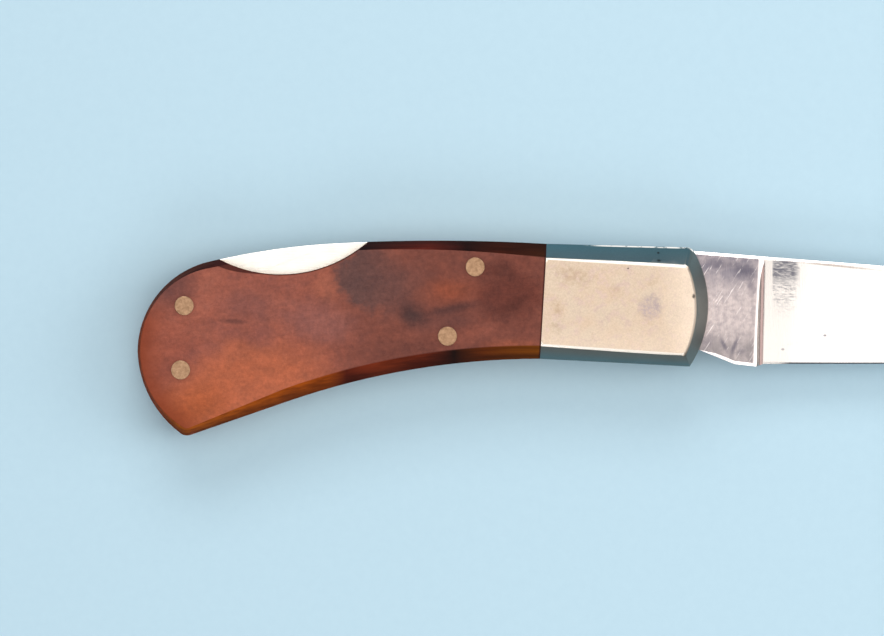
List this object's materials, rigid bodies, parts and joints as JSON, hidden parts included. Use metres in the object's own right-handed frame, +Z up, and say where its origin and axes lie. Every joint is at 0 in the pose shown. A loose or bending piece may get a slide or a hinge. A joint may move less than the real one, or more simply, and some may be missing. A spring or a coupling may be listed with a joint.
{
  "type": "folding pocket knife",
  "caption": "Folding pocket knife with hollow-ground drop-point blade, rocking rear lock bar pressed through a thumb notch, metal bolsters and wood scales pinned over liners.",
  "frame": {"origin": "bottom centre of the box round the open knife as it lies on its lower side", "axes": "+X from the butt to the blade tip, +Y from the cutting edge to the back of the handle, +Z up from the face it lies on"},
  "size_m": [0.1498, 0.0308, 0.0118],
  "materials": {
    "blade_steel": "satin stainless steel with fine scratches",
    "bar_steel": "satin stainless steel",
    "spring_steel": "hardened spring steel",
    "nickel_silver": "satin nickel silver, lightly tarnished",
    "bronze": "rolled phosphor bronze",
    "pin_brass": "dull rubbed brass",
    "liner_brass": "brushed brass",
    "wood": "oiled reddish-brown hardwood, mottled"
  },
  "bodies": {
    "handle": {"liner_upper": "liner_brass", "liner_lower": "liner_brass", "bolster_upper": "nickel_silver", "bolster_lower": "nickel_silver", "scale_upper": "wood", "scale_lower": "wood", "pivot_pin": "nickel_silver", "pivot_washer_upper": "bronze", "pivot_washer_lower": "bronze", "lock_bar_pin": "pin_brass", "butt_pin_top": "pin_brass", "butt_pin_bottom": "pin_brass", "scale_rivet_upper": "pin_brass", "scale_rivet_lower": "pin_brass", "butt_spacer": "bar_steel", "leaf_spring": "spring_steel"},
    "blade": {"blade": "blade_steel"},
    "lock_bar": {"lock_bar": "bar_steel"}
  },
  "joints": [
    {"name": "blade_pivot", "type": "hinge", "parent": "handle", "child": "blade", "pos_m": [0.00592, 0.0049, 0.00592], "axis": [0, 0, 1], "range_deg": [-165.5, 0]},
    {"name": "lock_bar_rock", "type": "hinge", "parent": "handle", "child": "lock_bar", "pos_m": [-0.02169, 0.0112, 0.00592], "axis": [0, 0, 1], "range_deg": [-1.8, 2.5], "stiffness_Nm_per_rad": 0.3, "springref_deg": -1.8, "deforming": ["leaf_spring"]}
  ]
}
